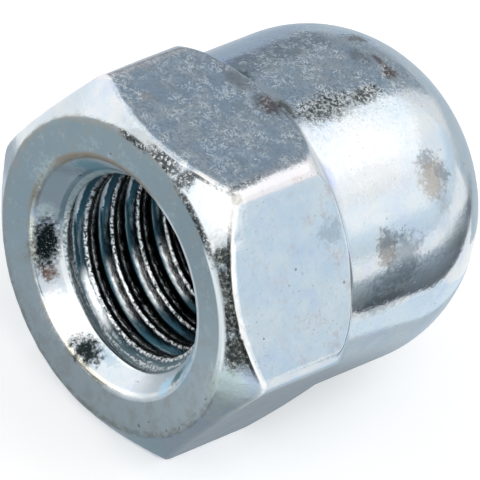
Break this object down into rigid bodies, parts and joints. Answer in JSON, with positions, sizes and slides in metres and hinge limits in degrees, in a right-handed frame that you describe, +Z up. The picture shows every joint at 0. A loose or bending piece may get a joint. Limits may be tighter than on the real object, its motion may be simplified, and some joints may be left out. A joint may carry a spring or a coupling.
{
  "type": "cap nut",
  "caption": "Domed hexagon cap nut, closed at the dome, with a countersunk blind threaded hole. It screws onto a bolt end and covers it.",
  "frame": {"origin": "centre of the bearing face, on the thread's axis", "axes": "+Y along the thread's axis from the mouth to the dome; +Z up, square to the flat that the nut lies on"},
  "size_m": [0.0146, 0.0151, 0.0128],
  "materials": {
    "zinc_plate": "steel with bright zinc plate and a pale blue clear coat, satin, with small stains and tumbling marks"
  },
  "bodies": {
    "root": {"cap_nut": "zinc_plate"}
  },
  "joints": []
}
